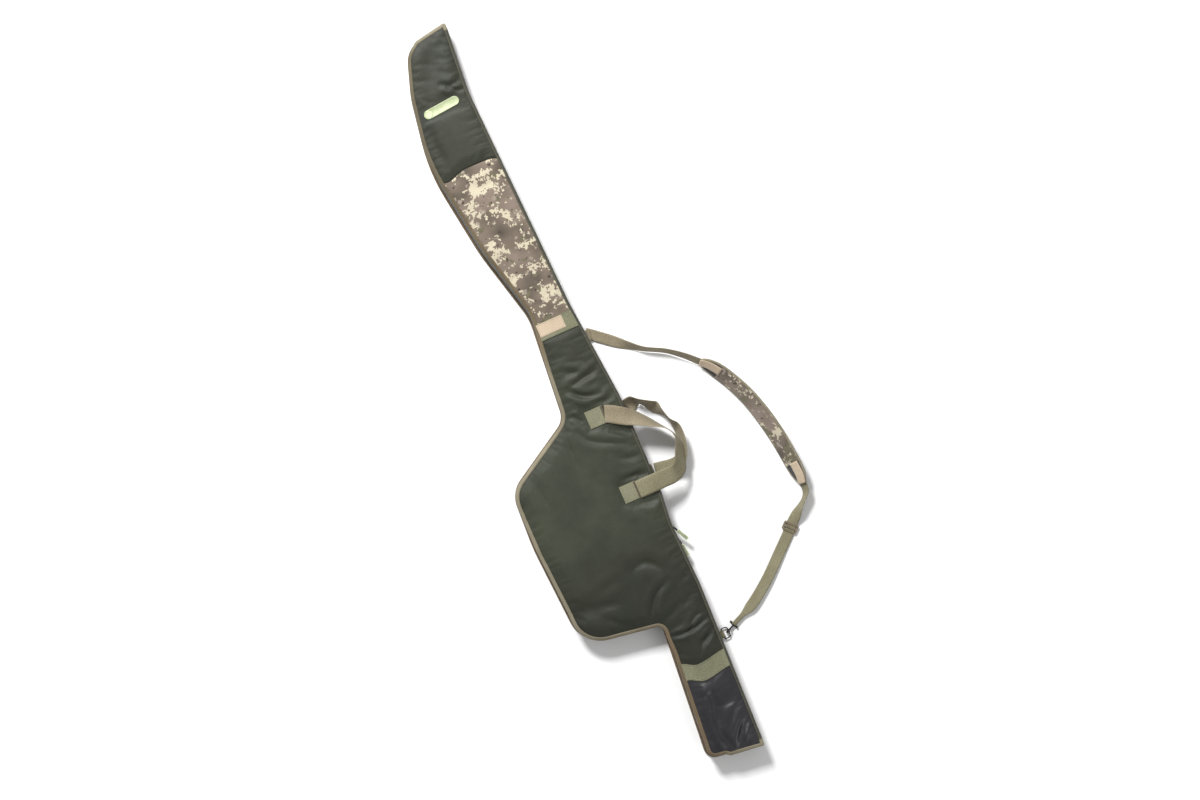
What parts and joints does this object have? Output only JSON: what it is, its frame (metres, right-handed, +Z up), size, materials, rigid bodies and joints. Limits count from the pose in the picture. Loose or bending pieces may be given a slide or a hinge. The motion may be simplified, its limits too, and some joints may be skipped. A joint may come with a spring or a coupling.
{
  "type": "fishing rod case",
  "caption": "Long padded rod case with a side pocket for the reel, a full-length side zip, two webbing handles and a padded shoulder strap.",
  "frame": {"origin": "on the case's flat underside, halfway along its length and beside the zip edge", "axes": "+X across the case towards the zip, handles and strap, +Y along the case towards the tip, +Z up out of the front panel"},
  "size_m": [0.7411, 2.048, 0.0598],
  "materials": {
    "cover_fabric": "woven polyester, water-repellent coat",
    "camo_fabric": "printed woven polyester",
    "butt_fabric": "smooth coated fabric",
    "foam": "closed-cell foam",
    "lining": "smooth nylon lining",
    "binding": "grosgrain tape",
    "webbing": "ribbed polypropylene webbing",
    "label": "smooth woven tape",
    "elastic": "woven elastic",
    "zip_tape": "woven zip tape",
    "zip_teeth": "moulded coil",
    "dark_metal": "satin black enamel",
    "pull_rubber": "soft matt rubber",
    "badge_rubber": "soft moulded rubber",
    "buckle_plastic": "satin moulded plastic",
    "ring_metal": "dark nickel"
  },
  "bodies": {
    "case": {"back_cover": "cover_fabric", "back_foam": "foam", "back_lining": "lining", "back_binding": "binding", "handle_tails_back": "webbing", "side_gusset": "cover_fabric", "spine_gusset_lower": "cover_fabric", "zip_tape_case": "zip_tape", "zip_teeth_case": "zip_teeth", "zip_stops": "dark_metal", "head_side": "cover_fabric", "camo_side": "camo_fabric", "main_side": "cover_fabric", "butt_side": "butt_fabric", "front_foam_side": "foam", "front_lining_side": "lining", "front_binding_side": "binding", "waist_band_side": "webbing", "lower_band_side": "webbing", "badge_plate": "badge_rubber", "badge_boss": "badge_rubber", "rod_bands": "elastic", "strap_tab_upper": "webbing", "strap_tab_lower": "webbing"},
    "lid": {"head_flap": "cover_fabric", "camo_flap": "camo_fabric", "main_flap": "cover_fabric", "butt_flap": "butt_fabric", "front_foam_flap": "foam", "front_lining_flap": "lining", "front_binding_flap": "binding", "spine_gusset_upper": "cover_fabric", "zip_tape_flap": "zip_tape", "zip_teeth_flap": "zip_teeth", "waist_band_flap": "webbing", "waist_label": "label", "lower_band_flap": "webbing", "handle_patches_front": "webbing"},
    "slider_upper": {"slider_upper": "dark_metal"},
    "slider_lower": {"slider_lower": "dark_metal"},
    "pull_upper": {"pull_link_upper": "dark_metal", "pull_grip_upper": "pull_rubber"},
    "pull_lower": {"pull_link_lower": "dark_metal", "pull_grip_lower": "pull_rubber"},
    "handle_front": {"handle_front": "webbing"},
    "handle_back": {"handle_back": "webbing"},
    "strap": {"shoulder_strap": "webbing", "strap_hook": "buckle_plastic"},
    "pad": {"pad_core": "foam", "pad_cover": "camo_fabric"},
    "adjuster": {"adjuster": "buckle_plastic"},
    "d_ring": {"d_ring": "ring_metal"},
    "hook_gate": {"hook_gate": "buckle_plastic"}
  },
  "joints": [
    {"name": "lid_open", "type": "hinge", "parent": "case", "child": "lid", "pos_m": [-0.1, 0, 0.0576], "axis": [0, -1, 0], "range_deg": [0, 70]},
    {"name": "slider_upper_slide", "type": "slide", "parent": "case", "child": "slider_upper", "axis": [-0.0219, 0.9998, 0], "range_m": [0, 1.18]},
    {"name": "slider_lower_slide", "type": "slide", "parent": "case", "child": "slider_lower", "axis": [-0.0184, -0.9998, 0], "range_m": [0, 0.52]},
    {"name": "pull_upper_swing", "type": "hinge", "parent": "slider_upper", "child": "pull_upper", "pos_m": [0.01215, -0.41382, 0.0302], "axis": [0, 0, 1], "range_deg": [-8, 130]},
    {"name": "pull_lower_swing", "type": "hinge", "parent": "slider_lower", "child": "pull_lower", "pos_m": [0.01213, -0.45015, 0.0258], "axis": [0, 0, 1], "range_deg": [-2, 130]},
    {"name": "handle_front_swing", "type": "hinge", "parent": "lid", "child": "handle_front", "pos_m": [-0.03, -0.18, 0.061], "axis": [0, -1, 0], "range_deg": [0, 90]},
    {"name": "handle_back_swing", "type": "hinge", "parent": "case", "child": "handle_back", "pos_m": [0.028, -0.18, 0.003], "axis": [0, -1, 0], "range_deg": [0, 90]},
    {"name": "strap_swing", "type": "hinge", "parent": "case", "child": "strap", "pos_m": [0.018, 0, 0.0057], "axis": [0, -1, 0], "range_deg": [0, 90]},
    {"name": "d_ring_flip", "type": "hinge", "parent": "case", "child": "d_ring", "pos_m": [0.018, -0.722, 0.0057], "axis": [0, -1, 0], "range_deg": [0, 90]},
    {"name": "pad_slide", "type": "hinge", "parent": "strap", "child": "pad", "pos_m": [-0.30912, -0.42175, 0.0064], "axis": [0, 0, 1], "range_deg": [-2, 2]},
    {"name": "adjuster_slide", "type": "slide", "parent": "strap", "child": "adjuster", "axis": [-0.7397, -0.673, 0], "range_m": [0, 0.09]},
    {"name": "hook_gate_open", "type": "hinge", "parent": "strap", "child": "hook_gate", "pos_m": [0.03732, -0.7176, 0.0139], "axis": [-0.3881, 0.9216, 0], "range_deg": [0, 25], "stiffness_Nm_per_rad": 0.0004, "springref_deg": -5.73}
  ],
  "couplings": [
    {"joint": "slider_upper_slide", "follows": "lid_open", "m_per_rad": 0.96},
    {"joint": "slider_lower_slide", "follows": "lid_open", "m_per_rad": 0.42},
    {"joint": "handle_back_swing", "follows": "handle_front_swing", "ratio": 1},
    {"joint": "d_ring_flip", "follows": "strap_swing", "ratio": 1}
  ]
}
